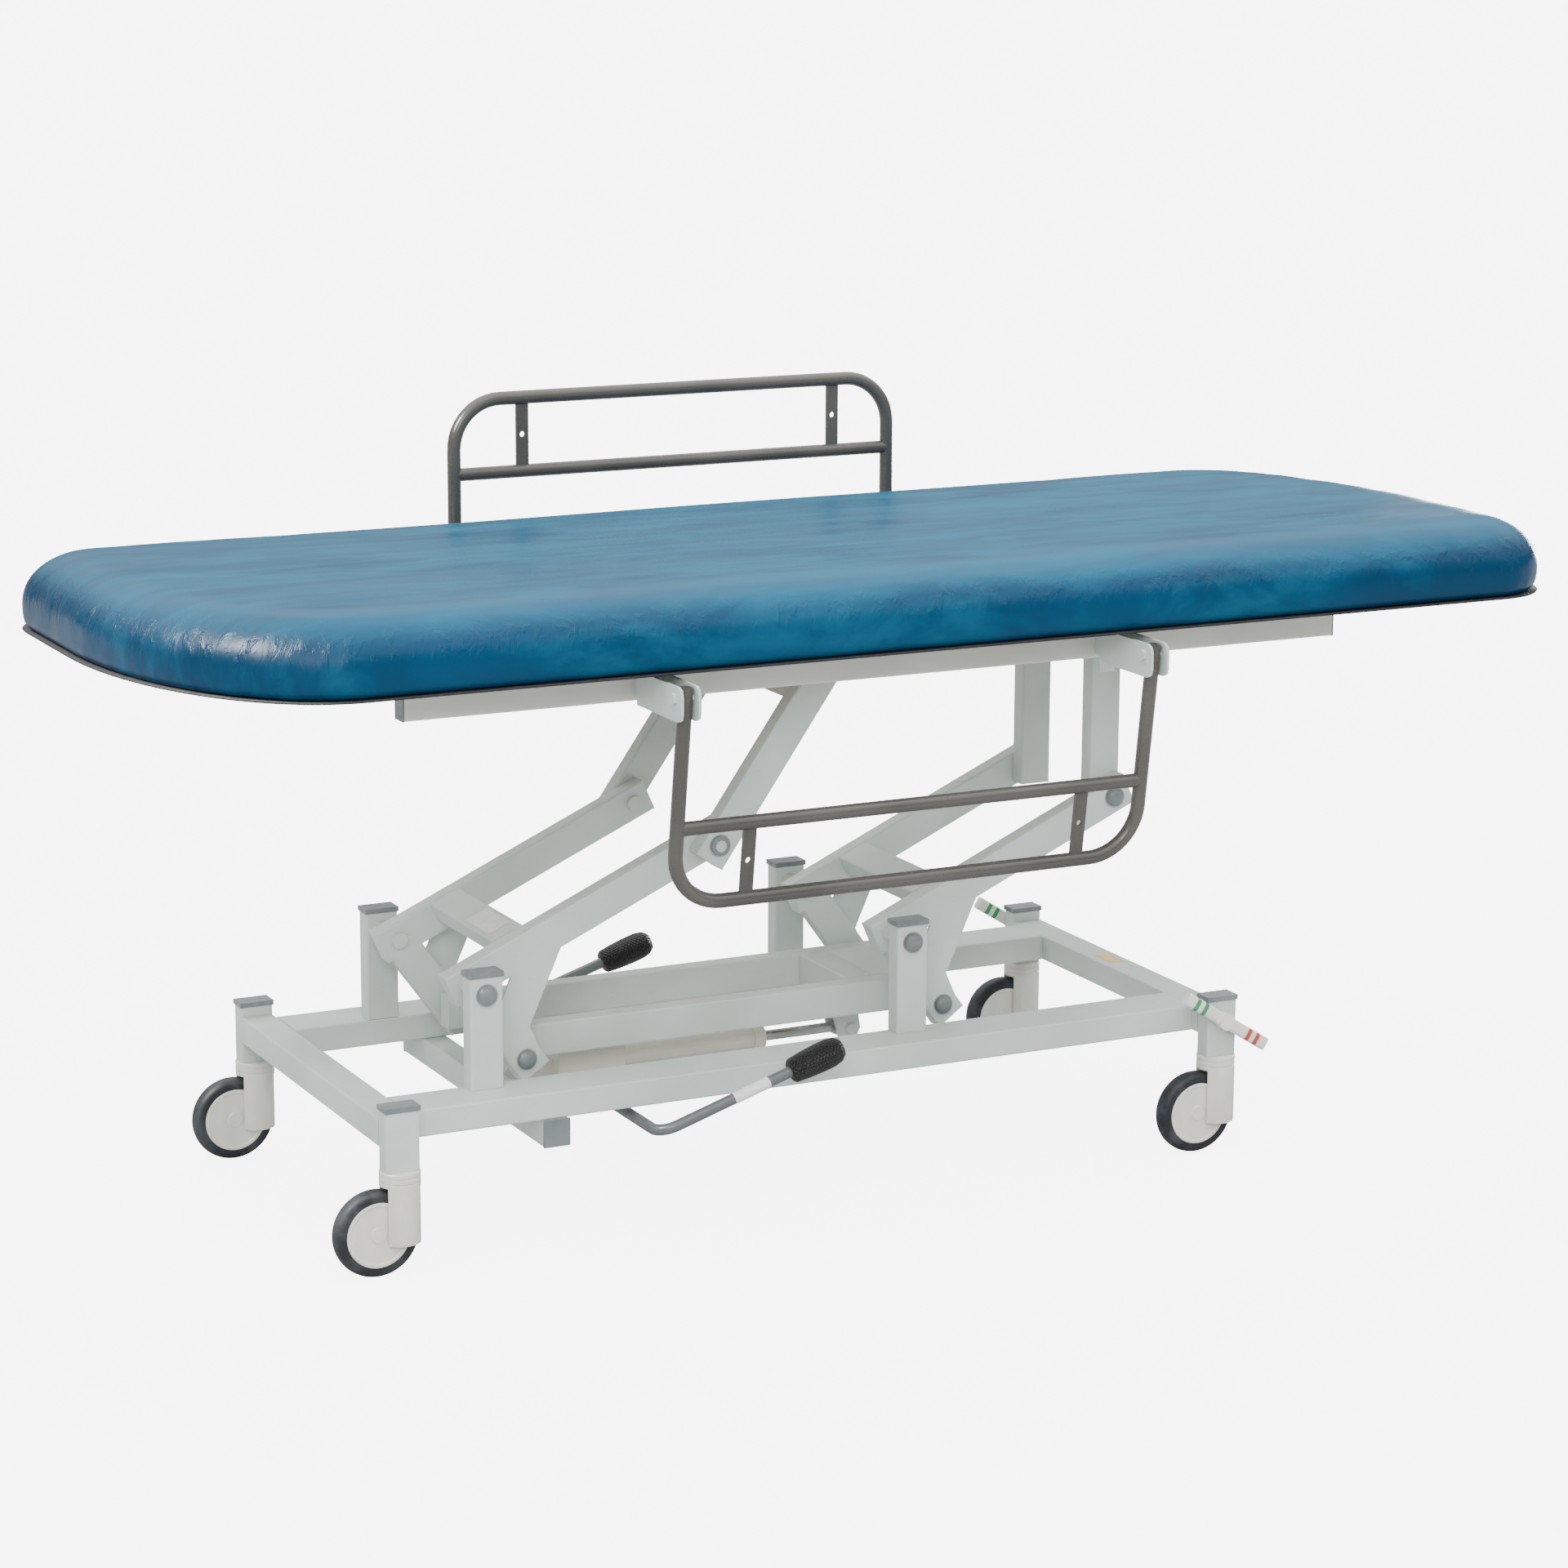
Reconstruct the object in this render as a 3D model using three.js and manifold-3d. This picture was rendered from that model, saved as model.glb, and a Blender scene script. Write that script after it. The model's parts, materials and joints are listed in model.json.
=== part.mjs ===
// Hydraulic changing trolley: wheeled base, parallelogram lift, padded top with two folding guards.
// Millimetres, +Z up, X along the bed, Y across it, origin on the floor under the middle of the mattress.
import * as THREE from 'three';
import { mergeVertices } from 'three/addons/utils/BufferGeometryUtils.js';
import Module from 'manifold-3d';

// ---- driving dimensions --------------------------------------------------------------------
const CARRIAGE_X = -105; // the steelwork is centred this far toward the head of the mattress
const GAP = 0.3; // clearance between two touching pieces
const WALL = 2.5; // wall of the frame tubes
const EDGE = 3; // outer corner radius of the frame tubes
const BAR = [50, 30]; // section of posts, arms, struts and legs

const WHEEL = { r: 62.5, width: 30, disc: 47, trail: 37 };
const CASTER = { r: 29, top: 148.7, foot: 45, stem: 6 };
const POST = { x: 660, y: 297, z: [149, 241] };
const RAIL_Z = [180, 220];
const SIDE_RAIL_Y = [187, 267];

const PIVOT_X = [-495, 181];
const PIVOT_Z = 357;
const PIVOT_POST_TOP = 389;
const ARM = { length: 415, angle: 24, y: [120, 150], tail: 26 };
const LUG = { length: 150, angle: -54 };
const TIE = { y: [78, 108], rise: 12 };

const TOP_RAIL = { x: [-631, 865], y: [236, 266], z: [769, 819] };
const STRUT = { y: [150.5, 180.5], topX: 55 };
const LEG_Y = [89.5, 119.5];
const BOARD = { x: [-560, 760], y: [-262, 262], z: [819.3, 827.3] };
const MATTRESS = { length: 2212, width: 794, z: [827.6, 938], wide: [270, 480], tight: 118 };
const CROWN = { inset: 90, height: 66 };
const HEM = { inset: 14, height: 14 };

const GUARD = { x: [-280, 461], y: 413, z: 800, tube: 10.5, bore: 9, cross: 192, reach: 305, bend: 75, tilt: 8 };
const FLAT_X = [-168, 363];
const CHEEK = { near: 288, far: 433, z: [768, 817], gap: 11.2, thick: 4 };

const CROSSMEMBER = { x: [-432, -392], z: [139.7, 179.7] };
const RAM = { foot: -365, head: 182, z: 175 };
const LEVER = { x: -280, z: 158, y: 330, r: 7, pad: [-34, 236] };
const BRAKE = { z: 205, length: 166, tilt: 32 };

const RAD = Math.PI / 180;
const SIDES = [['near', -1], ['far', 1]];
const ENDS = [['head', -1], ['foot', 1]];

// ---- materials -----------------------------------------------------------------------------
const finish = (color, roughness, metalness = 0) =>
  new THREE.MeshStandardMaterial({ color, roughness, metalness });
const FRAME = finish(0xc9d0c8, 0.42);
const CREAM = finish(0xdedccd, 0.45);
const RUBBER = finish(0x303236, 0.6);
const CHROME = finish(0xb9bcc0, 0.25, 1);
const GUARD_PAINT = finish(0x6b6a64, 0.28);
const VINYL = finish(0x2f88bf, 0.35);
const GRIP = finish(0x17181a, 0.55);
const WHITE = finish(0xe9e9e2, 0.4);
const WOOD = finish(0x8f6f4a, 0.7);

// ---- joining and cutting -------------------------------------------------------------------
const wasm = await Module();
wasm.setup();

function toSolid(geometry) {
  const bare = geometry.clone();
  bare.deleteAttribute('normal');
  bare.deleteAttribute('uv');
  const merged = mergeVertices(bare, 1e-4);
  return new wasm.Manifold(new wasm.Mesh({
    numProp: 3,
    vertProperties: Float32Array.from(merged.attributes.position.array),
    triVerts: Uint32Array.from(merged.index.array),
  }));
}

function toGeometry(solid) {
  const mesh = solid.getMesh();
  const geometry = new THREE.BufferGeometry();
  geometry.setAttribute('position', new THREE.BufferAttribute(new Float32Array(mesh.vertProperties), 3));
  geometry.setIndex(new THREE.BufferAttribute(new Uint32Array(mesh.triVerts), 1));
  const faceted = geometry.toNonIndexed();
  faceted.computeVertexNormals();
  return faceted;
}

const join = (...pieces) => toGeometry(pieces.map(toSolid).reduce((a, b) => a.add(b)));
const cut = (body, ...tools) => toGeometry(tools.map(toSolid).reduce((a, b) => a.subtract(b), toSolid(body)));
const common = (a, b) => toGeometry(toSolid(a).intersect(toSolid(b)));

// ---- basic shapes --------------------------------------------------------------------------
const middle = (range) => (range[0] + range[1]) / 2;
const span = (range) => range[1] - range[0];
const sided = (range, side) => (side > 0 ? range : [-range[1], -range[0]]);
const polar = (length, angle) => [length * Math.cos(angle * RAD), length * Math.sin(angle * RAD)];
const points = (outline) => outline.map(([a, b]) => new THREE.Vector2(a, b));

function box(x, y, z) {
  return new THREE.BoxGeometry(span(x), span(y), span(z)).translate(middle(x), middle(y), middle(z));
}

function roundedPath(target, w, h, r) {
  target.absarc(w / 2 - r, -h / 2 + r, r, -Math.PI / 2, 0, false);
  target.absarc(w / 2 - r, h / 2 - r, r, 0, Math.PI / 2, false);
  target.absarc(-w / 2 + r, h / 2 - r, r, Math.PI / 2, Math.PI, false);
  target.absarc(-w / 2 + r, -h / 2 + r, r, Math.PI, Math.PI * 1.5, false);
  return target;
}

// solid bar standing on Z = 0, section w along X and h along Y
function bar(length, [w, h], r = EDGE, curveSegments = 1) {
  const shape = roundedPath(new THREE.Shape(), w, h, r);
  return new THREE.ExtrudeGeometry(shape, { depth: length, bevelEnabled: false, curveSegments });
}

// open-ended tube standing on Z = 0
function tube(length, [w, h]) {
  const shape = roundedPath(new THREE.Shape(), w, h, EDGE);
  const [x, y] = [w / 2 - WALL, h / 2 - WALL];
  shape.holes.push(new THREE.Path(points([[-x, -y], [x, -y], [x, y], [-x, y]])));
  return new THREE.ExtrudeGeometry(shape, { depth: length, bevelEnabled: false, curveSegments: 1 });
}

const layAlongX = (geometry) => geometry.rotateY(Math.PI / 2).rotateX(Math.PI / 2);
const layAlongY = (geometry) => geometry.rotateX(-Math.PI / 2);

function tubeX(x, y, z) {
  return layAlongX(tube(span(x), [span(y), span(z)])).translate(x[0], middle(y), middle(z));
}

function tubeY(x, y, z) {
  return layAlongY(tube(span(y), [span(x), span(z)])).translate(middle(x), y[0], middle(z));
}

function tubeZ(x, y, z) {
  return tube(span(z), [span(x), span(y)]).translate(middle(x), middle(y), z[0]);
}

function roundY(r, x, y, z, segments = 12) {
  return new THREE.CylinderGeometry(r, r, span(y), segments).translate(x, middle(y), z);
}

function roundX(r, x, y, z, segments = 12) {
  return new THREE.CylinderGeometry(r, r, span(x), segments).rotateZ(Math.PI / 2).translate(middle(x), y, z);
}

// domed bolt cap on the face at y, bulging toward the given side
function dome(r, x, y, z, side) {
  const profile = [[0, 0], [r, 0], [r * 0.8, 5], [0, 8]];
  const geometry = new THREE.LatheGeometry(points(profile), 10);
  return (side > 0 ? geometry : geometry.rotateX(Math.PI)).translate(x, y, z);
}

// flat plate with an X-Z outline, filling a range of Y
function plateY(outline, y) {
  const options = { depth: span(y), bevelEnabled: false };
  const geometry = new THREE.ExtrudeGeometry(new THREE.Shape(points(outline)), options);
  return geometry.rotateX(Math.PI / 2).translate(0, y[1], 0);
}

// flat plate with a Y-Z outline, filling a range of X
function plateX(outline, x) {
  const options = { depth: span(x), bevelEnabled: false };
  const geometry = new THREE.ExtrudeGeometry(new THREE.Shape(points(outline)), options);
  return geometry.rotateX(Math.PI / 2).rotateZ(Math.PI / 2).translate(x[0], 0, 0);
}

// ---- scene ---------------------------------------------------------------------------------
const trolley = new THREE.Group();
trolley.name = 'changing_trolley';
const carriage = new THREE.Group();
carriage.position.x = CARRIAGE_X;
trolley.add(carriage);

function place(name, geometry, material, [x, y, z] = [0, 0, 0], parent = carriage) {
  const mesh = new THREE.Mesh(geometry, material);
  mesh.name = name;
  mesh.position.set(x, y, z);
  parent.add(mesh);
  return mesh;
}

// ---- base frame ----------------------------------------------------------------------------
function cornerPost() {
  const half = [[-BAR[0] / 2, BAR[0] / 2], [-BAR[1] / 2, BAR[1] / 2]];
  const plug = bar(33, [BAR[0] - 4, BAR[1] - 4], 1, 1).translate(0, 0, POST.z[0]);
  const cap = bar(6, [BAR[0] + 1.6, BAR[1] + 1.6]).translate(0, 0, POST.z[1] - 6);
  const stemBore = new THREE.CylinderGeometry(CASTER.stem + 0.6, CASTER.stem + 0.6, 80, 14);
  const body = join(tubeZ(half[0], half[1], POST.z), plug, cap);
  return cut(body, stemBore.rotateX(Math.PI / 2).translate(0, 0, POST.z[0]));
}

function buildBase() {
  const insideX = POST.x - BAR[0] / 2 - GAP;
  const insideY = POST.y - BAR[1] / 2 - GAP;
  for (const [name, side] of SIDES) {
    place(`side_rail_${name}`, tubeX([-insideX, insideX], sided(SIDE_RAIL_Y, side), RAIL_Z), FRAME);
  }
  for (const [end, endSign] of ENDS) {
    const rail = tubeY([-BAR[0] / 2, BAR[0] / 2], [-insideY, insideY], RAIL_Z);
    place(`end_rail_${end}`, rail, FRAME, [endSign * POST.x, 0, 0]);
    for (const [name, side] of SIDES) {
      const shaftBore = roundY(6, 0, [-20, 20], BRAKE.z);
      const post = end === 'foot' ? cut(cornerPost(), shaftBore) : cornerPost();
      place(`corner_post_${end}_${name}`, post, FRAME, [endSign * POST.x, side * POST.y, 0]);
    }
  }
}

// post standing on a side rail, with the spacer, axle and cover of one lower lift pivot
function pivotPost(side) {
  const face = SIDE_RAIL_Y[0];
  const y = sided([face, face + BAR[1]], side);
  const z = [RAIL_Z[1] + GAP, PIVOT_POST_TOP];
  return join(
    tubeZ([-BAR[0] / 2, BAR[0] / 2], y, z),
    bar(6, [BAR[0] + 1.6, BAR[1] + 1.6]).translate(0, middle(y), PIVOT_POST_TOP - 6),
    roundY(15, 0, sided([ARM.y[1] + 0.6, face + 2], side), PIVOT_Z, 14),
    roundY(8, 0, sided([ARM.y[0] - 6, face + BAR[1]], side), PIVOT_Z),
    roundY(12, 0, sided([ARM.y[0] - 7, ARM.y[0] - 0.6], side), PIVOT_Z),
    dome(13, 0, side * (face + BAR[1] - 0.2), PIVOT_Z, side),
  );
}

function buildPivotPosts() {
  ENDS.forEach(([end], i) => {
    for (const [name, side] of SIDES) {
      place(`pivot_post_${end}_${name}`, pivotPost(side), FRAME, [PIVOT_X[i], 0, 0]);
    }
  });
}

// square beam bolted under both side rails, with the two ears that hold the foot of the ram
function buildCrossmember() {
  const beam = tubeY(CROSSMEMBER.x, [-SIDE_RAIL_Y[1], SIDE_RAIL_Y[1]], CROSSMEMBER.z);
  const back = CROSSMEMBER.x[1] - 1;
  const outline = [[back, 146], [RAM.foot - 4, 150], [RAM.foot + 16, RAM.z - 8], [RAM.foot + 16, RAM.z + 8],
    [RAM.foot - 4, 200], [back, 179]];
  const bolt = roundX(12, [CROSSMEMBER.x[0] - 7, CROSSMEMBER.x[0] + 1], 0, middle(CROSSMEMBER.z));
  const ears = SIDES.map(([, side]) => plateY(outline, sided([21, 27], side)));
  place('pump_crossmember', join(beam, ...ears, roundY(7, RAM.foot, [-31, 31], RAM.z), bolt), FRAME);
}

// ---- casters -------------------------------------------------------------------------------
function casterFork() {
  const { r, top, foot, stem } = CASTER;
  const profile = [[0, foot], [r, foot], [r, 143], [r - 1.5, 144], [r - 1.5, 145.5], [r, 146.5], [r, top],
    [stem, top], [stem, 176], [0, 176]];
  const column = new THREE.LatheGeometry(points(profile), 22).rotateX(Math.PI / 2);
  const slot = WHEEL.width / 2 + 1.5;
  const cheekY = [slot, slot + 6];
  const cheek = plateY([[-WHEEL.trail, WHEEL.r - 16], [-8, foot + 1], [4, foot + 5], [4, 100], [-8, 100],
    [-WHEEL.trail, WHEEL.r + 16]], cheekY);
  return join(
    cut(column, box([-80, 80], [-slot, slot], [0, 2 * WHEEL.r + 3])),
    cheek,
    roundY(16, -WHEEL.trail, cheekY, WHEEL.r, 14),
    roundY(5, -WHEEL.trail, [-10, slot + 4], WHEEL.r, 12),
  );
}

function wheelDisc() {
  const h = WHEEL.width / 2;
  const r = WHEEL.disc;
  const profile = [[0, -h], [r - 2, -h], [r, -h + 2], [r, h - 2], [r - 2, h], [5.5, h], [5.5, -11], [0, -11]];
  return new THREE.LatheGeometry(points(profile), 28);
}

function tyre() {
  const h = WHEEL.width / 2;
  const profile = [[WHEEL.disc + 0.3, -h], [WHEEL.r - 5, -h + 2], [WHEEL.r - 1, -h + 7], [WHEEL.r, 0],
    [WHEEL.r - 1, h - 7], [WHEEL.r - 5, h - 2], [WHEEL.disc + 0.3, h], [WHEEL.disc + 0.3, -h]];
  return new THREE.LatheGeometry(points(profile), 28);
}

function buildCasters() {
  for (const [end, endSign] of ENDS) {
    for (const [name, side] of SIDES) {
      const caster = new THREE.Group();
      caster.position.set(endSign * POST.x, side * POST.y, 0);
      carriage.add(caster);
      const hub = [-WHEEL.trail, 0, WHEEL.r];
      place(`caster_fork_${end}_${name}`, casterFork(), CREAM, [0, 0, 0], caster);
      place(`wheel_disc_${end}_${name}`, wheelDisc(), CREAM, hub, caster);
      place(`tyre_${end}_${name}`, tyre(), RUBBER, hub, caster);
    }
  }
}

// ---- brake ---------------------------------------------------------------------------------
function buildBrake() {
  const face = POST.y + BAR[1] / 2 + 1;
  place('brake_shaft', roundY(5, 0, [-face - 13, face + 13], 0), CHROME, [POST.x, 0, BRAKE.z]);
  for (const [name, side] of SIDES) {
    const y = sided([face, face + 16], side);
    const blade = layAlongX(bar(BRAKE.length, [12, 20], 5, 2)).translate(-BRAKE.length / 2, middle(y), 0);
    const hub = roundY(13, 0, y, 0, 18);
    const socket = roundY(5.3, 0, sided([face - 1, face + 13.5], side), 0);
    const pedal = place(`brake_pedal_${name}`, cut(join(blade, hub), socket), WHITE, [POST.x, 0, BRAKE.z]);
    pedal.rotation.y = BRAKE.tilt * RAD;
  }
}

// ---- lift ----------------------------------------------------------------------------------
// bell crank with its pivot at the origin: the beam runs along +X and the lug hangs below it
function liftArm(side) {
  const y = sided(ARM.y, side);
  const wide = [span(y), BAR[0]];
  const [lugX, lugZ] = polar(LUG.length, LUG.angle - ARM.angle);
  const beam = layAlongX(tube(ARM.length + 2 * ARM.tail, wide)).translate(-ARM.tail, middle(y), 0);
  const lug = layAlongX(tube(LUG.length + 24, wide)).rotateY((ARM.angle - LUG.angle) * RAD);
  const [rootX] = polar(60, 0);
  const [shoulderX, shoulderZ] = polar(70, LUG.angle - ARM.angle);
  const web = [[rootX + 26, 0], [rootX + 112, 0], [lugX + 24, lugZ + 42], [lugX + 24, lugZ], [lugX, lugZ],
    [shoulderX, shoulderZ]];
  const through = [y[0] - 2, y[1] + 2];
  return cut(
    join(beam, lug.translate(0, middle(y), 0), plateY(web, sided([ARM.y[1] - 5, ARM.y[1]], side))),
    roundY(8.6, 0, through, 0),
    roundY(8.6, ARM.length, through, 0),
    roundY(6.6, lugX, through, lugZ),
  );
}

function buildArms() {
  const width = ARM.y[0] - GAP;
  ENDS.forEach(([end], i) => {
    const crank = new THREE.Group();
    crank.position.set(PIVOT_X[i], 0, PIVOT_Z);
    crank.rotation.y = -ARM.angle * RAD;
    carriage.add(crank);
    for (const [name, side] of SIDES) {
      place(`lift_arm_${end}_${name}`, liftArm(side), FRAME, [0, 0, 0], crank);
    }
    place(`arm_cross_${end}`, tubeY([66, 116], [-width, width], [-5, 25]), FRAME, [0, 0, 0], crank);
  });
}

// bar that keeps both cranks parallel, carrying the pins that run in their lugs
function tieBar(lugs, side) {
  const z = lugs[0][1] + TIE.rise;
  const pieces = lugs.flatMap(([x, pinZ]) => [
    roundY(6, x, sided([TIE.y[0] + 1, ARM.y[1] + 1], side), pinZ),
    roundY(12, x, sided([TIE.y[1] - 1, ARM.y[0] - 0.6], side), pinZ),
    dome(12, x, side * (ARM.y[1] + 0.6), pinZ, side),
  ]);
  const x = [lugs[0][0] - 26, lugs[1][0] + 26];
  return join(tubeX(x, sided(TIE.y, side), [z - BAR[0] / 2, z + BAR[0] / 2]), ...pieces);
}

// tube between the two tie bars with the ears that take the push of the ram
function tieCross(z) {
  const width = TIE.y[0] - GAP;
  const x = RAM.head;
  const outline = [[x - 36, z[0] + 1], [x - 20, RAM.z - 12], [x - 8, RAM.z - 18], [x + 8, RAM.z - 18],
    [x + 16, RAM.z], [x + 8, z[0] + 1]];
  const ears = SIDES.flatMap(([, side]) => [
    plateY(outline, sided([14, 20], side)),
    dome(11, x, side * 19.8, RAM.z, side),
  ]);
  return join(tubeY([x - 40, x + 10], [-width, width], z), ...ears);
}

function buildTies() {
  const [dx, dz] = polar(LUG.length, LUG.angle);
  const lugs = PIVOT_X.map((x) => [x + dx, PIVOT_Z + dz]);
  const z = PIVOT_Z + dz + TIE.rise;
  for (const [name, side] of SIDES) {
    place(`tie_bar_${name}`, tieBar(lugs, side), FRAME);
  }
  place('tie_cross', tieCross([z - BAR[0] / 2, z + BAR[0] / 2]), FRAME);
}

// ---- top frame -----------------------------------------------------------------------------
// slanted tube from the head-end arm up to the top frame, with the axle of its pivot at the origin
function strut(side, run) {
  const y = sided(STRUT.y, side);
  const slope = Math.atan2(run[1], run[0]);
  const beam = layAlongX(tube(Math.hypot(...run) + 60, [span(y), BAR[0]])).translate(-ARM.tail, 0, 0);
  const above = box([-600, 600], [y[0] - 1, y[1] + 1], [run[1] - GAP, run[1] + 400]);
  return join(
    cut(beam.rotateY(-slope).translate(0, middle(y), 0), above),
    roundY(8, 0, sided([ARM.y[0] - 6, STRUT.y[1]], side), 0),
    roundY(12, 0, sided([ARM.y[0] - 7, ARM.y[0] - 0.6], side), 0),
    dome(13, 0, side * (STRUT.y[1] - 0.2), 0, side),
  );
}

// upright tube from the foot-end arm, with the axle of its pivot at the origin
function leg(side, height) {
  return join(
    tubeZ([-BAR[0] / 2, BAR[0] / 2], sided(LEG_Y, side), [-ARM.tail, height - GAP]),
    roundY(8, 0, sided([LEG_Y[0], ARM.y[1] + 2], side), 0),
    dome(13, 0, side * (ARM.y[1] + 0.6), 0, side),
  );
}

function buildTopFrame() {
  const [dx, dz] = polar(ARM.length, ARM.angle);
  const feet = PIVOT_X.map((x) => [x + dx, PIVOT_Z + dz]);
  const run = [STRUT.topX - feet[0][0], TOP_RAIL.z[0] - feet[0][1]];
  for (const [name, side] of SIDES) {
    place(`top_rail_${name}`, tubeX(TOP_RAIL.x, sided(TOP_RAIL.y, side), TOP_RAIL.z), CREAM);
    place(`strut_${name}`, strut(side, run), FRAME, [feet[0][0], 0, feet[0][1]]);
    place(`leg_${name}`, leg(side, run[1]), FRAME, [feet[1][0], 0, feet[1][1]]);
  }
  buildTopCross('top_cross_strut', STRUT.topX, 60, STRUT.y[0] - GAP, -26);
  buildTopCross('top_cross_leg', feet[1][0], 50, LEG_Y[0] - GAP, 0);
  place('support_board', box(BOARD.x, BOARD.y, BOARD.z), WOOD);
}

// tube between the top rails with a stiffening web below it, which leans by the given amount
function buildTopCross(name, x, size, webReach, lean) {
  const width = TOP_RAIL.y[0] - GAP;
  const z = TOP_RAIL.z[0];
  const edge = x - size / 2 + 1;
  const web = plateY([[edge, z + 1], [edge + lean, z - 40], [edge + lean + 5, z - 40], [edge + 6, z + 1]],
    [-webReach, webReach]);
  place(name, join(tubeY([x - size / 2, x + size / 2], [-width, width], TOP_RAIL.z), web), CREAM);
}

// plan of the pad drawn in by the given inset: two opposite corners are wide curves, two are tight
function padPlan(inset) {
  const [x, y] = [MATTRESS.length / 2 - inset, MATTRESS.width / 2 - inset];
  const [rx, ry] = MATTRESS.wide.map((r) => r - inset);
  const r = MATTRESS.tight - inset;
  const plan = new THREE.Shape();
  plan.absellipse(rx - x, ry - y, rx, ry, Math.PI, 1.5 * Math.PI, false);
  plan.absarc(x - r, r - y, r, 1.5 * Math.PI, 2 * Math.PI, false);
  plan.absellipse(x - rx, y - ry, rx, ry, 0, 0.5 * Math.PI, false);
  plan.absarc(r - x, y - r, r, 0.5 * Math.PI, Math.PI, false);
  return plan;
}

// slab on that plan with rounded edges above and below its straight side
function bevelled(z, { inset, height }, bevelSegments) {
  const bevel = { bevelSize: inset, bevelThickness: height, bevelSegments };
  const options = { depth: span(z) - 2 * height, curveSegments: 8, ...bevel };
  return new THREE.ExtrudeGeometry(padPlan(inset), options).translate(0, 0, z[0] + height);
}

function buildMattress() {
  const [low, high] = MATTRESS.z;
  const crown = bevelled([low - CROWN.height - 5, high], CROWN, 4);
  const hem = bevelled([low, high + HEM.height + 5], HEM, 1);
  place('mattress', common(crown, hem), VINYL, [0, 0, 0], trolley);
}

// ---- guards --------------------------------------------------------------------------------
// pair of cheek plates on the outside of a top rail with the hinge bolt of one guard leg
function guardBracket(side) {
  const { near, far, z, gap, thick } = CHEEK;
  const outline = [[near, z[0]], [far - 12, z[0]], [far - 3, z[0] + 4], [far, z[0] + 13], [far, z[1] - 13],
    [far - 3, z[1] - 4], [far - 12, z[1]], [near + 24, z[1]], [near, z[1] - 10]];
  const mirrored = outline.map(([y, h]) => [side * y, h]);
  return join(
    plateX(mirrored, [-gap - thick, -gap]),
    plateX(mirrored, [gap, gap + thick]),
    box([-gap - thick, gap + thick], sided([near, near + thick], side), [z[0], z[1] - 10]),
    box([-9, 9], sided([TOP_RAIL.y[1] + GAP, near + 1], side), [z[0] + 8, z[1] - 14]),
    roundX(4.5, [-gap - 1, gap + 1], side * GUARD.y, GUARD.z, 12),
    roundX(8, [-gap - thick - 5, -gap - 1], side * GUARD.y, GUARD.z, 6),
    roundX(8, [gap + 1, gap + thick + 5], side * GUARD.y, GUARD.z, 6),
  );
}

// centre line of a guard hoop hanging from Z = 0: a leg, a bend, the long bar, a bend, a leg
class Hoop extends THREE.Curve {
  constructor(overshoot) {
    super();
    this.overshoot = overshoot;
    this.bendSteps = 5;
    this.steps = 3 + 2 * this.bendSteps;
  }

  getUtoTmapping(u) {
    return u;
  }

  getPoint(t, target = new THREE.Vector3()) {
    const [x0, x1] = GUARD.x;
    const { bend, reach } = GUARD;
    const half = t > 0.5;
    const step = (half ? 1 - t : t) * this.steps;
    const turn = THREE.MathUtils.clamp((step - 1) / this.bendSteps, 0, 1) * (Math.PI / 2);
    const top = 14 + this.overshoot;
    const drop = Math.min(step, 1);
    const run = Math.max(step - 1 - this.bendSteps, 0) * (x1 - x0 - 2 * bend);
    const along = bend * (1 - Math.cos(turn)) + run;
    const z = top - drop * (top + reach - bend) - bend * Math.sin(turn);
    return target.set(half ? x1 - along : x0 + along, 0, z);
  }
}

function hoopTube(r, overshoot) {
  const path = new Hoop(overshoot);
  const ring = new THREE.Shape().absarc(0, 0, r, 0, 2 * Math.PI);
  const options = { steps: path.steps, extrudePath: path, bevelEnabled: false, curveSegments: 5 };
  return new THREE.ExtrudeGeometry(ring, options);
}

function guard() {
  const { x, tube: outer, bore, cross, reach } = GUARD;
  const flats = FLAT_X.map((at) => {
    const flat = box([at - 10, at + 10], [-4, 4], [-reach, -cross]);
    return cut(flat, roundY(4, at, [-6, 6], -(reach + cross) / 2, 10));
  });
  return cut(
    join(hoopTube(outer, 0), roundX(outer, x, 0, -cross, 12), ...flats),
    hoopTube(bore, 2),
    roundX(bore, x, 0, -cross, 12),
    ...x.map((at) => roundX(5, [at - 20, at + 20], 0, 0, 12)),
  );
}

function buildGuards() {
  ENDS.forEach(([end], i) => {
    for (const [name, side] of SIDES) {
      place(`guard_bracket_${end}_${name}`, guardBracket(side), FRAME, [GUARD.x[i], 0, 0]);
    }
  });
  const hanging = place('guard_near', guard(), GUARD_PAINT, [0, -GUARD.y, GUARD.z]);
  hanging.rotation.x = GUARD.tilt * RAD;
  const upright = place('guard_far', guard(), GUARD_PAINT, [0, GUARD.y, GUARD.z]);
  upright.rotation.x = Math.PI;
}

// ---- hydraulic pump and pedals ---------------------------------------------------------------
function buildPump() {
  const { foot, head, z } = RAM;
  const body = join(
    box([foot, -300], [-19, 19], [z - 15, z + 15]),
    roundY(15, foot, [-19, 19], z, 18),
    layAlongX(bar(105, [84, 60], 8, 2)).translate(-310, 0, z + 2),
    roundX(16, [-210, 36], 0, z, 18),
    roundX(19, [22, 40], 0, z, 18),
    roundY(14, LEVER.x, [-48, 48], LEVER.z, 16),
  );
  const bores = [
    roundX(8.5, [-196, 60], 0, z),
    roundY(7.6, foot, [-30, 30], z),
    roundY(LEVER.r + 0.6, LEVER.x, [-60, 60], LEVER.z),
  ];
  place('pump_body', cut(body, ...bores), CREAM);
  const eye = roundY(17, head, [-10, 10], z, 18);
  place('ram_rod', join(roundX(8, [-60, head - 8], 0, z), eye), CHROME);
}

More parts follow.
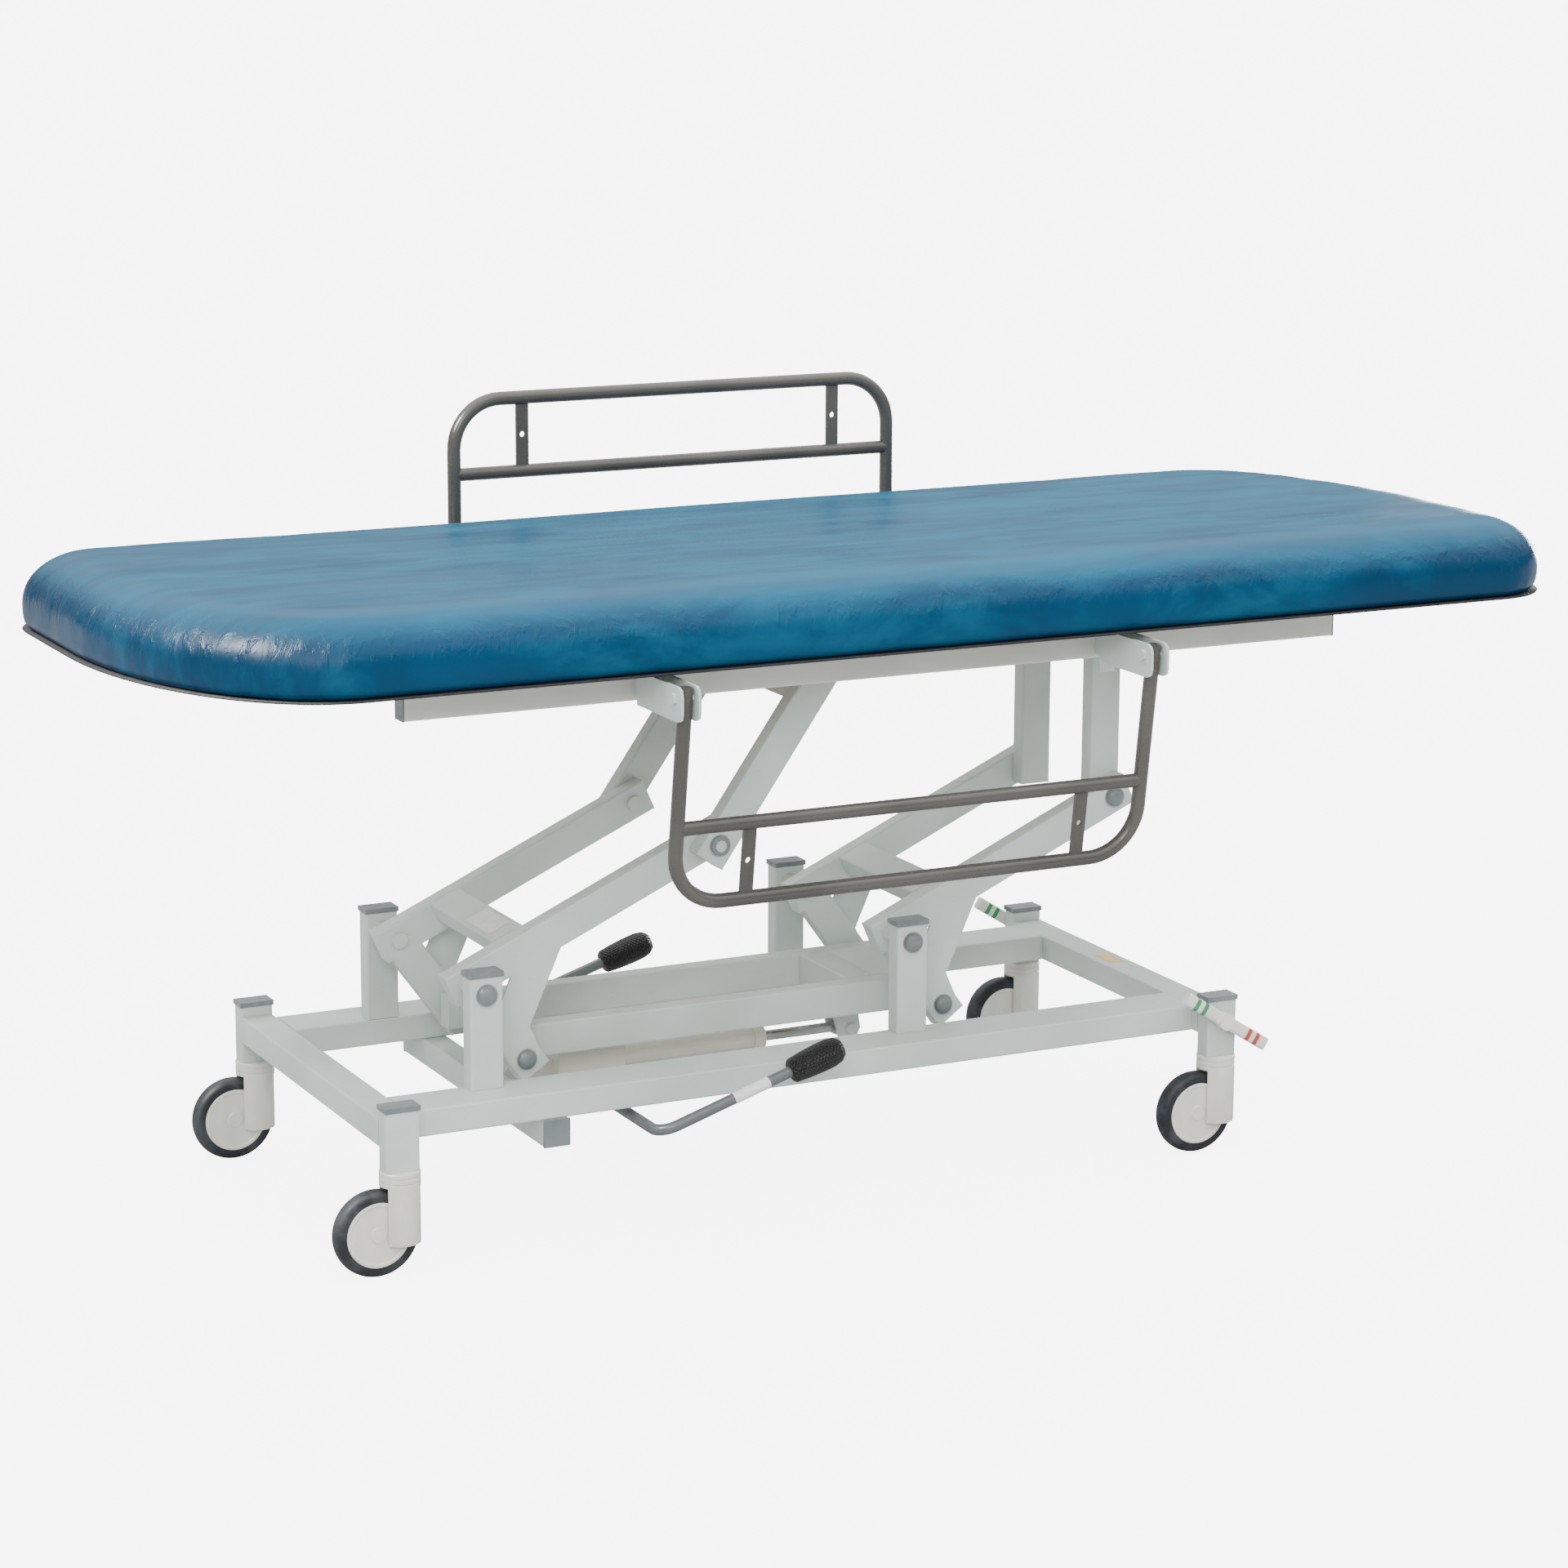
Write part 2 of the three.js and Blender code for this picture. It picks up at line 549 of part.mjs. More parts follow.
// shaft through the pump with a pedal arm and tread pad at each end
function buildPedals() {
  const { r, y, pad } = LEVER;
  const reach = Math.hypot(pad[0] - LEVER.x, pad[1] - LEVER.z);
  const rise = Math.atan2(pad[1] - LEVER.z, pad[0] - LEVER.x);
  const pedals = new THREE.Group();
  pedals.position.set(LEVER.x, 0, LEVER.z);
  pedals.rotation.y = -rise;
  carriage.add(pedals);
  place('pedal_shaft', roundY(r, 0, [-y + r + GAP, y - r - GAP], 0), FRAME, [0, 0, 0], pedals);
  for (const [name, side] of SIDES) {
    const knee = new THREE.SphereGeometry(r, 12, 8);
    const rod = roundX(r, [0, reach + 20], 0, 0);
    place(`pedal_arm_${name}`, join(knee, rod), FRAME, [0, side * y, 0], pedals);
    const block = layAlongX(bar(84, [44, 34], 12, 2)).translate(reach - 42, 0, 0);
    const socket = roundX(r + GAP, [reach - 60, reach + 20.5], 0, 0);
    place(`pedal_pad_${name}`, cut(block, socket), GRIP, [0, side * y, 0], pedals);
  }
}

buildBase();
buildPivotPosts();
buildCrossmember();
buildCasters();
buildBrake();
buildArms();
buildTies();
buildTopFrame();
buildMattress();
buildGuards();
buildPump();
buildPedals();

export default trolley;
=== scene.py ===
"""Hydraulic changing trolley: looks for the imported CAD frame. Metres, Z up, floor at Z = 0."""
import json
import math

import bmesh
import bpy
from mathutils import Matrix, Vector


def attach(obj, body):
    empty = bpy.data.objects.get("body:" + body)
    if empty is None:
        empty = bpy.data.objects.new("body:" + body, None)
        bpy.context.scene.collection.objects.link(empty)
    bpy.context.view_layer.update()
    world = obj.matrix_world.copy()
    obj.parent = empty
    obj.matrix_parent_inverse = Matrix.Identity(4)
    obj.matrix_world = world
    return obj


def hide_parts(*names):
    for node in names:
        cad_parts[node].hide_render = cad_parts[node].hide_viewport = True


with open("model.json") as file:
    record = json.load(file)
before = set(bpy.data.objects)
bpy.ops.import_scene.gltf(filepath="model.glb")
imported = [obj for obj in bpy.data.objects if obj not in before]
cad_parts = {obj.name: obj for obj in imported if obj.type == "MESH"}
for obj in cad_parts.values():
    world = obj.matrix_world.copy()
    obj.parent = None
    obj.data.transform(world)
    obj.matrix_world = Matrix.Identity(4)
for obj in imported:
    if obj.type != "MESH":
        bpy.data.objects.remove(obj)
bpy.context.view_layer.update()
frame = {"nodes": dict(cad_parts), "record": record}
nodes = frame["nodes"]
SIDES = (("near", -1), ("far", 1))
ENDS = (("head", -1), ("foot", 1))

# ---- driving dimensions, in metres -------------------------------------------------------------
PAD_LENGTH, PAD_WIDTH = 2.212, 0.794
PAD_Z = (0.8276, 0.938)
WIDE_CORNER = (0.270, 0.480)
TIGHT_CORNER = 0.118
CROWN = (0.090, 0.066)
HEM = 0.014

CARRIAGE_X = -0.105
POST_X, POST_Y, POST_TOP = 0.660, 0.297, 0.241
PIVOTS = (("head", -0.600), ("foot", 0.076))
PIVOT_Z, PIVOT_POST_TOP, PIVOT_POST_Y = 0.357, 0.389, 0.202
ARM_LENGTH, ARM_ANGLE, ARM_Y, ARM_TAIL = 0.415, 24.0, 0.135, 0.026
LUG_LENGTH, LUG_ANGLE = 0.150, -54.0
TIE_Y, TIE_RISE = 0.093, 0.012
STRUT_ANGLE, STRUT_Y, LEG_Y = 54.9, 0.1655, 0.1045
POST_CAP = (0.0528, 0.0328, 0.0076)
CAP_DROP = 0.0028
CROSSMEMBER_CAP_AT, CROSSMEMBER_CAP = (-0.517, 0.2685, 0.1597), (0.0405, 0.004, 0.0405)
RAIL_CAP_X, RAIL_CAP = (("head", -0.7371), ("foot", 0.7611)), (0.0028, 0.0304, 0.0504)
RAIL_CAP_Y, RAIL_CAP_Z = 0.251, 0.794
TIE_CAP_X, TIE_CAP = (("head", -0.5386), ("foot", 0.1910)), (0.002, 0.0296, 0.0496)
END_PLATE, END_GAP = (0.0022, 0.0298, 0.0498), 0.0008

WHEEL_R, WHEEL_WIDTH, DISC_R, TRAIL = 0.0625, 0.030, 0.047, 0.037
CASTER_R, CASTER_FOOT, CASTER_TOP = 0.029, 0.045, 0.1487
GUARD_X, GUARD_Y, GUARD_Z = (-0.385, 0.356), 0.413, 0.800
GUARD_R, GUARD_CROSS, GUARD_REACH, GUARD_BEND = 0.0105, 0.192, 0.305, 0.075
GUARD_TILT = 8.0
FLAT_X = (-0.273, 0.258)
LEVER = (-0.385, 0.158)
LEVER_Y, LEVER_R = 0.330, 0.0082
PAD_AT = (-0.139, 0.236)
LABEL_REACH = (0.120, 0.178)
BRAKE_AT, BRAKE_TILT = (0.555, 0.205), 32.0

CAMERA_AT = (-2.7802, -5.5225, 1.9528)
CAMERA_AZIMUTH, CAMERA_ELEVATION, CAMERA_ROLL = -26.484, 12.708, 0.278
CAMERA_LENS = 97.31
BACKDROP, FLOOR_GLOW = 8.0, 6.0
SKY = (0.1, 3.5)


# ---- shader nodes --------------------------------------------------------------------------------
class Surface:
    """A Principled material and short ways to add the nodes that drive it."""

    def __init__(self, name, roughness=0.5, **sockets):
        self.material = bpy.data.materials.new(name)
        self.material.use_nodes = True
        self.tree = self.material.node_tree
        self.shader = self.tree.nodes["Principled BSDF"]
        self.coords = self.tree.nodes.new("ShaderNodeTexCoord").outputs["Object"]
        self.set(self.shader, {"Roughness": roughness, **sockets})

    def set(self, node, sockets):
        for key, value in sockets.items():
            socket = node.inputs[key]
            if isinstance(value, bpy.types.NodeSocket):
                self.tree.links.new(value, socket)
            else:
                socket.default_value = value

    def add(self, kind, sockets, output=0, **settings):
        node = self.tree.nodes.new("ShaderNode" + kind)
        for key, value in settings.items():
            setattr(node, key, value)
        self.set(node, sockets)
        return node.outputs[output]

    def stretch(self, scale, turn=(0, 0, 0)):
        return self.add("Mapping", {0: self.coords, "Scale": scale, "Rotation": turn})

    def noise(self, scale, detail=3.0, rough=0.5, coords=None, distortion=0.0):
        sockets = {"Vector": coords or self.coords, "Scale": scale, "Detail": detail}
        return self.add("TexNoise", {**sockets, "Roughness": rough, "Distortion": distortion})

    def span(self, value, low, high, to_low=0.0, to_high=1.0, smooth=True):
        sockets = {0: value, 1: low, 2: high, 3: to_low, 4: to_high}
        return self.add("MapRange", sockets, interpolation_type="SMOOTHSTEP" if smooth else "LINEAR")

    def math(self, operation, a, b=0.0):
        return self.add("Math", {0: a, 1: b}, operation=operation)

    def mix(self, fac, a, b):
        return self.add("Mix", {0: fac, 6: a, 7: b}, output=2, data_type="RGBA")

    def axis(self, name, coords=None):
        node = self.tree.nodes.new("ShaderNodeSeparateXYZ")
        self.set(node, {0: coords or self.coords})
        return node.outputs[name]

    def bump(self, height, strength, distance, under=None):
        sockets = {"Height": height, "Strength": strength, "Distance": distance}
        if under is not None:
            sockets["Normal"] = under
        return self.add("Bump", sockets)

    def finish(self, color, normal=None, roughness=None):
        self.set(self.shader, {"Base Color": color})
        if normal is not None:
            self.set(self.shader, {"Normal": normal})
        if roughness is not None:
            self.set(self.shader, {"Roughness": roughness})
        return self.material


def rgb(r, g, b):
    """An sRGB colour from 0 to 255 as linear RGBA."""
    def linear(c):
        c /= 255
        return c / 12.92 if c < 0.04045 else ((c + 0.055) / 1.055) ** 2.4
    return (linear(r), linear(g), linear(b), 1.0)


def darker(color, share):
    return tuple(share * c for c in color[:3]) + (1.0,)


def powder_coat(name, light, dark, roughness, peel=0.10):
    """Satin powder coat: slow shade drift, orange peel, and faint handling scuffs."""
    s = Surface(name, roughness, **{"Specular IOR Level": 0.45})
    drift = s.noise(5.0, 2.0)
    scuff = s.noise(42.0, 6.0, 0.65, s.stretch((1, 1, 3.2)))
    scuffs = s.span(scuff, 0.60, 0.74, 0.0, 0.35)
    color = s.mix(s.span(drift, 0.35, 0.65), light, dark)
    color = s.mix(scuffs, color, darker(dark, 0.82))
    peel_bump = s.bump(s.noise(620.0, 2.0), peel, 0.0004)
    soft_bump = s.bump(s.noise(24.0, 2.0), 0.10, 0.0015, peel_bump)
    rough = s.span(scuff, 0.3, 0.75, roughness - 0.06, roughness + 0.10)
    return s.finish(color, soft_bump, rough)


def plastic(name, light, dark, roughness, grain=0.06):
    """Moulded plastic: even colour with slight flow marks and a fine moulded grain."""
    s = Surface(name, roughness, **{"Specular IOR Level": 0.5})
    flow = s.noise(30.0, 3.0, 0.5, s.stretch((1, 1, 0.4)), 0.6)
    color = s.mix(s.span(flow, 0.3, 0.7), light, dark)
    rough = s.span(s.noise(90.0, 4.0), 0.3, 0.7, roughness - 0.05, roughness + 0.07)
    return s.finish(color, s.bump(s.noise(900.0, 2.0), grain, 0.0003), rough)


def steel(name, tint, roughness, lay):
    """Ground and plated metal, with fine marks drawn out along one axis."""
    s = Surface(name, roughness, Metallic=1.0)
    marks = s.noise(260.0, 3.0, 0.6, s.stretch(lay))
    color = s.mix(s.span(s.noise(18.0, 3.0), 0.35, 0.7), tint, darker(tint, 0.8))
    rough = s.span(marks, 0.3, 0.7, roughness - 0.06, roughness + 0.12)
    return s.finish(color, s.bump(marks, 0.06, 0.0003), rough)


def rubber(name, light, dark, roughness, pitch):
    """Moulded rubber: dusty patches, small pores, and a coarse texture of the given pitch."""
    s = Surface(name, roughness, **{"Specular IOR Level": 0.35})
    dust = s.span(s.noise(26.0, 5.0, 0.6), 0.42, 0.72)
    color = s.mix(dust, dark, light)
    pores = s.bump(s.noise(1 / pitch, 4.0, 0.7), 0.35, 0.0006)
    return s.finish(color, pores, s.span(dust, 0, 1, roughness - 0.08, roughness + 0.1))


def coated_vinyl():
    """Blue vinyl: streaky, with a painted sheen that makes the crown paler than the sides, with fine grain
    and edge creases.
    """
    s = Surface("blue_vinyl", 0.36, **{"Specular IOR Level": 0.16})
    streaks = s.noise(7.0, 5.0, 0.62, s.stretch((0.55, 2.4, 1.0)), 0.4)
    clouds = s.noise(2.6, 3.0)
    deep, mid, pale = rgb(0, 52, 82), rgb(0, 63, 96), rgb(4, 98, 128)
    color = s.mix(s.span(clouds, 0.35, 0.68), deep, mid)
    color = s.mix(s.span(streaks, 0.46, 0.74, 0.0, 0.5), color, pale)
    # Painted sheen: near the top the colour is mixed toward the pale blue in streaks, standing in for the
    # brighter lit crown.
    crown = s.span(s.axis("Z"), PAD_Z[1] - 0.040, PAD_Z[1] - 0.012)
    painted_crown_sheen = s.math("MULTIPLY", crown, s.span(streaks, 0.25, 0.75, 0.3, 0.8))
    color = s.mix(painted_crown_sheen, color, pale)
    grain = s.bump(s.noise(520.0, 3.0, 0.6), 0.12, 0.0004)
    band = s.span(s.axis("Z"), PAD_Z[0] + 0.030, PAD_Z[1] - 0.050)
    below = s.span(s.axis("Z"), PAD_Z[1] - 0.035, PAD_Z[1] - 0.010, 1.0, 0.0)
    folds = s.noise(46.0, 4.0, 0.62, s.stretch((1.0, 1.0, 0.16)), 0.8)
    crease = s.math("MULTIPLY", s.span(folds, 0.44, 0.70), s.math("MULTIPLY", band, below))
    creased = s.bump(crease, 0.55, 0.0022, grain)
    waves = s.bump(s.noise(3.4, 3.0, 0.5, s.stretch((0.7, 1.6, 1.0))), 0.55, 0.012, creased)
    rough = s.span(streaks, 0.30, 0.75, 0.30, 0.46)
    return s.finish(color, waves, rough)


def plywood():
    s = Surface("sealed_plywood", 0.55)
    rings = s.noise(9.0, 6.0, 0.6, s.stretch((0.6, 6.0, 40.0)), 1.2)
    color = s.mix(s.span(rings, 0.35, 0.65), rgb(120, 92, 62), rgb(158, 126, 88))
    return s.finish(color, s.bump(rings, 0.15, 0.0006))


def knurled():
    """Black pedal rubber with a diamond pattern of small studs."""
    s = Surface("knurled_rubber", 0.42, **{"Specular IOR Level": 0.5})
    turned = s.stretch((1, 1, 1), (0.0, math.radians(17.6), 0.0))
    lines = [s.math("SINE", s.math("MULTIPLY", s.axis(name, turned), 1150.0)) for name in ("X", "Y", "Z")]
    studs = s.math("MAXIMUM", s.math("MULTIPLY", lines[0], lines[1]), s.math("MULTIPLY", lines[0], lines[2]))
    color = s.mix(s.span(studs, -0.2, 0.9), rgb(3, 3, 4), rgb(14, 14, 15))
    return s.finish(color, s.bump(studs, 0.9, 0.0016))


def striped(name, ends):
    """White brake bar with painted stripes at the given distances along it."""
    s = Surface(name, 0.38)
    along = s.axis("X", s.stretch((1, 1, 1), (0, -math.radians(BRAKE_TILT), 0)))
    a = math.radians(BRAKE_TILT)
    middle = BRAKE_AT[0] * math.cos(a) - BRAKE_AT[1] * math.sin(a)
    flow = s.mix(s.span(s.noise(30.0, 3.0), 0.3, 0.7), rgb(238, 237, 232), rgb(228, 227, 222))
    shade = flow
    for centre, paint in ends:
        off = s.math("ABSOLUTE", s.math("SUBTRACT", along, middle + centre))
        shade = s.mix(s.span(off, 0.0032, 0.0042, 1.0, 0.0), shade, paint)
    return s.finish(shade, s.bump(s.noise(700.0, 2.0), 0.05, 0.0003))


def label_stock(name, light, dark):
    """Blank adhesive label with a faint printed-paper mottle."""
    s = Surface(name, 0.45)
    color = s.mix(s.span(s.noise(60.0, 4.0), 0.35, 0.7), light, dark)
    return s.finish(color, s.bump(s.noise(300.0, 2.0), 0.06, 0.0002))


FRAME_PAINT = powder_coat("frame_powder_coat", rgb(207, 217, 212), rgb(194, 205, 199), 0.36)
CREAM_PAINT = powder_coat("cream_powder_coat", rgb(224, 225, 217), rgb(214, 215, 206), 0.40)
GUARD_PAINT = powder_coat("guard_paint", rgb(84, 82, 77), rgb(70, 69, 65), 0.22, 0.05)
PUMP_PAINT = powder_coat("pump_enamel", rgb(226, 224, 210), rgb(216, 213, 198), 0.34)
LEVER_PAINT = powder_coat("lever_paint", rgb(112, 117, 117), rgb(96, 101, 102), 0.26, 0.05)
CASTER_PLASTIC = plastic("caster_nylon", rgb(230, 229, 219), rgb(220, 219, 208), 0.34)
CAP_PLASTIC = plastic("grey_cap_plastic", rgb(122, 131, 132), rgb(108, 117, 119), 0.40)
CHROME = steel("plated_steel", rgb(205, 207, 209), 0.16, (0.2, 1, 1))
ZINC = steel("zinc_plate", rgb(178, 182, 184), 0.34, (1, 1, 0.3))
TYRE = rubber("tyre_rubber", rgb(66, 70, 74), rgb(34, 37, 41), 0.60, 0.004)
GRIP = knurled()
GREEN, RED = rgb(40, 150, 90), rgb(200, 60, 62)
BRAKE_WHITE = striped("brake_bar_plastic", ((-0.062, GREEN), (-0.046, GREEN), (0.046, RED), (0.062, RED)))
PAPER = label_stock("blank_label", rgb(240, 241, 240), rgb(228, 230, 230))
YELLOW = label_stock("blank_yellow_label", rgb(236, 214, 120), rgb(226, 200, 100))
# Near-black plastic for the strip under the pad's hem: painted shade for the shadowed gap below the pad.
PAINTED_SHADE_PLASTIC = plastic("painted_shade_strip", rgb(26, 30, 36), rgb(18, 21, 26), 0.7, 0.3)
WOOD = plywood()
VINYL = coated_vinyl()

SLOT_MATERIAL = {
    "frame_paint": FRAME_PAINT, "cream_paint": CREAM_PAINT, "guard_paint": GUARD_PAINT,
    "caster_plastic": CASTER_PLASTIC, "tyre": TYRE, "chrome": CHROME, "white_plastic": BRAKE_WHITE,
    "pump_enamel": PUMP_PAINT, "black_rubber": GRIP, "plywood": WOOD, "vinyl": VINYL,
}


def paint_frame():
    """Every CAD node takes the material of its slot in the record."""
    for part in frame["record"]["subparts"]:
        data = nodes[part["node"]].data
        data.materials.clear()
        data.materials.append(SLOT_MATERIAL[part["material_slot"]])


# ---- making pieces -------------------------------------------------------------------------------
def piece(name, mesh_or_bm, material, body, smooth=True):
    """A new object on a CAD body, with one material."""
    mesh = bpy.data.meshes.new(name)
    mesh_or_bm.to_mesh(mesh)
    mesh_or_bm.free()
    mesh.polygons.foreach_set("use_smooth", [smooth] * len(mesh.polygons))
    mesh.materials.append(material)
    obj = bpy.data.objects.new(name, mesh)
    bpy.context.scene.collection.objects.link(obj)
    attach(obj, body)
    return obj


def loft(bm, rings, close=True):
    """Quads between rings of equal length, with a face over each end."""
    loops = [[bm.verts.new(p) for p in ring] for ring in rings]
    for a, b in zip(loops, loops[1:]):
        for i in range(len(a)):
            j = (i + 1) % len(a)
            bm.faces.new((a[i], a[j], b[j], b[i]))
    if close:
        bm.faces.new(loops[0][::-1])
        bm.faces.new(loops[-1])


def polar(length, degrees):
    return length * math.cos(math.radians(degrees)), length * math.sin(math.radians(degrees))


def rounded_box(size, edge):
    """A box round the origin with its edges rounded by two segments."""
    bm = bmesh.new()
    bmesh.ops.create_cube(bm, size=1.0)
    bmesh.ops.scale(bm, vec=size, verts=bm.verts)
    bmesh.ops.bevel(bm, geom=list(bm.edges), offset=edge, segments=2, affect="EDGES", profile=0.6)
    return bm


def plate(name, at, size, material, body, turn=0.0, edge=0.0008):
    """A thin rounded plate, turned about Y by the given angle from +X toward +Z."""
    bm = rounded_box(size, edge)
    place = Matrix.Translation(at) @ Matrix.Rotation(-math.radians(turn), 4, "Y")
    bmesh.ops.transform(bm, matrix=place, verts=bm.verts)
    return piece(name, bm, material, body, smooth=False)


def lathe(profile, axis, at, steps=64, close=True):
    """Turns (radius, height) points about X, Y or Z through a point."""
    bm = bmesh.new()
    rings = []
    for radius, height in profile:
        ring = []
        for k in range(steps):
            t = 2 * math.pi * k / steps
            a, b = radius * math.cos(t), radius * math.sin(t)
            offset = {"X": (height, a, b), "Y": (b, height, a), "Z": (a, b, height)}[axis]
            ring.append(Vector(at) + Vector(offset))
        rings.append(ring)
    loft(bm, rings, close)
    bmesh.ops.recalc_face_normals(bm, faces=bm.faces)
    return bm


def sweep(bm, path, radius, steps=20):
    """A round bar along a list of points, kept from twisting."""
    path = [Vector(p) for p in path]
    side = None
    rings = []
    for i, point in enumerate(path):
        ahead = (path[min(i + 1, len(path) - 1)] - path[max(i - 1, 0)]).normalized()
        start = side if side is not None else ahead.orthogonal()
        side = (start - ahead * start.dot(ahead)).normalized()
        other = ahead.cross(side)
        turns = [2 * math.pi * k / steps for k in range(steps)]
        rings.append([point + radius * (math.cos(t) * side + math.sin(t) * other) for t in turns])
    loft(bm, rings)
    bmesh.ops.recalc_face_normals(bm, faces=bm.faces)


def fillet(corners, radius, steps=8):
    """The corners of a path replaced by arcs of the given radius."""
    corners = [Vector(c) for c in corners]
    path = [corners[0]]
    for a, b, c in zip(corners, corners[1:], corners[2:]):
        to_a, to_c = (a - b).normalized(), (c - b).normalized()
        half = to_a.angle(to_c) / 2
        reach = radius / math.tan(half)
        centre = b + (to_a + to_c).normalized() * (radius / math.sin(half))
        first, last = (b + to_a * reach - centre).normalized(), (b + to_c * reach - centre).normalized()
        path += [centre + radius * first.slerp(last, k / steps) for k in range(steps + 1)]
    return path + [corners[-1]]


def smooth_by_angle(obj, degrees=35):
    """Flat faces stay flat and round ones shade smoothly."""
    limit = math.radians(degrees)
    mesh = obj.data
    bm = bmesh.new()
    bm.from_mesh(mesh)
    for edge in bm.edges:
        edge.smooth = len(edge.link_faces) == 2 and edge.calc_face_angle() < limit
    bm.to_mesh(mesh)
    bm.free()


# ---- caps, bolts and labels ------------------------------------------------------------------------
def make_tube_caps():
    """Grey push-in caps on the posts, top rails and pump crossmember; painted ends on the tie bars."""
    for end, sign in ENDS:
        for name, side in SIDES:
            at = (CARRIAGE_X + sign * POST_X, side * POST_Y, POST_TOP - CAP_DROP)
            plate(f"post_cap_{end}_{name}", at, POST_CAP, CAP_PLASTIC, "base")
    for end, x in PIVOTS:
        for name, side in SIDES:
            at = (x, side * PIVOT_POST_Y, PIVOT_POST_TOP - CAP_DROP)
            plate(f"pivot_cap_{end}_{name}", at, POST_CAP, CAP_PLASTIC, "base")
    cap_x, cap_y, cap_z = CROSSMEMBER_CAP_AT
    tie_z = PIVOT_Z + polar(LUG_LENGTH, LUG_ANGLE)[1] + TIE_RISE
    for name, side in SIDES:
        at = (cap_x, side * cap_y, cap_z)
        plate(f"crossmember_cap_{name}", at, CROSSMEMBER_CAP, CAP_PLASTIC, "base")
        for end, x in RAIL_CAP_X:
            at = (x, side * RAIL_CAP_Y, RAIL_CAP_Z)
            plate(f"rail_cap_{end}_{name}", at, RAIL_CAP, CAP_PLASTIC, "bed")
        for end, x in TIE_CAP_X:
            plate(f"tie_cap_{end}_{name}", (x, side * TIE_Y, tie_z), TIE_CAP, FRAME_PAINT, "tie")


def make_linkage_caps():
    """Closing plates on the open tube ends of the cranks, struts and legs."""
    dx, dz = polar(ARM_LENGTH, ARM_ANGLE)
    for name, side in SIDES:
        for end, x in PIVOTS:
            spots = (("tail", -ARM_TAIL - END_GAP, ARM_ANGLE),
                     ("tip", ARM_LENGTH + ARM_TAIL + END_GAP, ARM_ANGLE),
                     ("lug", LUG_LENGTH + 0.0248, LUG_ANGLE))
            for label, reach, angle in spots:
                ax, az = polar(reach, angle)
                at = (x + ax, side * ARM_Y, PIVOT_Z + az)
                plate(f"arm_{label}_{end}_{name}", at, END_PLATE,
                      FRAME_PAINT, f"arm_{end}", turn=angle)
        ax, az = polar(-ARM_TAIL - END_GAP, STRUT_ANGLE)
        plate(f"strut_end_{name}", (PIVOTS[0][1] + dx + ax, side * STRUT_Y, PIVOT_Z + dz + az),
              END_PLATE, FRAME_PAINT, "bed", turn=STRUT_ANGLE)
        plate(f"leg_end_{name}", (PIVOTS[1][1] + dx, side * LEG_Y, PIVOT_Z + dz - ARM_TAIL - 0.0006),
              (0.0498, 0.0298, 0.0022), FRAME_PAINT, "bed")


def bolt_cap(name, x, y, z, side, body, radius=0.0142, height=0.0095):
    """A domed grey cover over a pivot bolt, on a zinc washer."""
    washer = [(0.001, 0), (radius + 0.0022, 0), (radius + 0.0022, 0.0012), (0.001, 0.0012)]
    turns = [math.radians(90 * k / 8) for k in range(9)]
    dome = [(max(radius * math.cos(t), 0.0004), 0.0012 + 0.002 + (height - 0.002) * math.sin(t))
            for t in turns]
    dome = [(0.001, 0.0012), (radius, 0.0012)] + dome
    for label, profile, material in (("washer", washer, ZINC), ("cap", dome, CAP_PLASTIC)):
        bm = lathe([(r, side * h) for r, h in profile], "Y", (x, y, z), 40)
        smooth_by_angle(piece(f"{label}_{name}", bm, material, body))


def make_bolt_caps():
    dx, dz = polar(ARM_LENGTH, ARM_ANGLE)
    lx, lz = polar(LUG_LENGTH, LUG_ANGLE)
    for name, side in SIDES:
        for end, x in PIVOTS:
            bolt_cap(f"post_{end}_{name}", x, side * 0.2171, PIVOT_Z, side, "base")
            bolt_cap(f"lug_{end}_{name}", x + lx, side * 0.1505, PIVOT_Z + lz, side, "tie", 0.0132)
        bolt_cap(f"strut_{name}", PIVOTS[0][1] + dx, side * 0.1806, PIVOT_Z + dz, side, "bed",
                 height=0.0045)
        bolt_cap(f"leg_{name}", PIVOTS[1][1] + dx, side * 0.1505, PIVOT_Z + dz, side, "bed")


def make_labels():
    """Blank stickers where the trolley carries its plates."""
    cross_x, cross_z = polar(0.091, ARM_ANGLE)
    lift = Vector((-math.sin(math.radians(ARM_ANGLE)), 0, math.cos(math.radians(ARM_ANGLE)))) * 0.0252
    at = Vector((PIVOTS[0][1] + cross_x, -0.045, PIVOT_Z + cross_z)) + lift
    plate("label_arm", at, (0.036, 0.085, 0.0005), PAPER, "arm_head", turn=ARM_ANGLE, edge=0.0001)
    leg_x = PIVOTS[1][1] + polar(ARM_LENGTH, ARM_ANGLE)[0]
    plate("label_leg", (leg_x, -0.1198, 0.738), (0.026, 0.0005, 0.05), PAPER, "bed", edge=0.0001)
    rail_x = CARRIAGE_X + POST_X
    plate("label_end_rail", (rail_x, 0.02, 0.2203), (0.022, 0.052, 0.0005), YELLOW, "base", edge=0.0001)


# ---- casters ---------------------------------------------------------------------------------------
def caster_column(at):
    """Smooth round housing with a double groove near its top; the notch for the wheel is cut afterwards."""
    r, top = CASTER_R, CASTER_TOP
    profile = [(0.0005, CASTER_FOOT), (r - 0.002, CASTER_FOOT), (r - 0.0006, CASTER_FOOT + 0.0006),
               (r, CASTER_FOOT + 0.002), (r, 0.1325), (r - 0.0012, 0.1332), (r - 0.0012, 0.1345), (r, 0.1352),
               (r, 0.1405), (r - 0.0012, 0.1412), (r - 0.0012, 0.1425), (r, 0.1432), (r, top - 0.001),
               (r - 0.001, top), (0.0005, top)]
    return lathe(profile, "Z", at, 72)


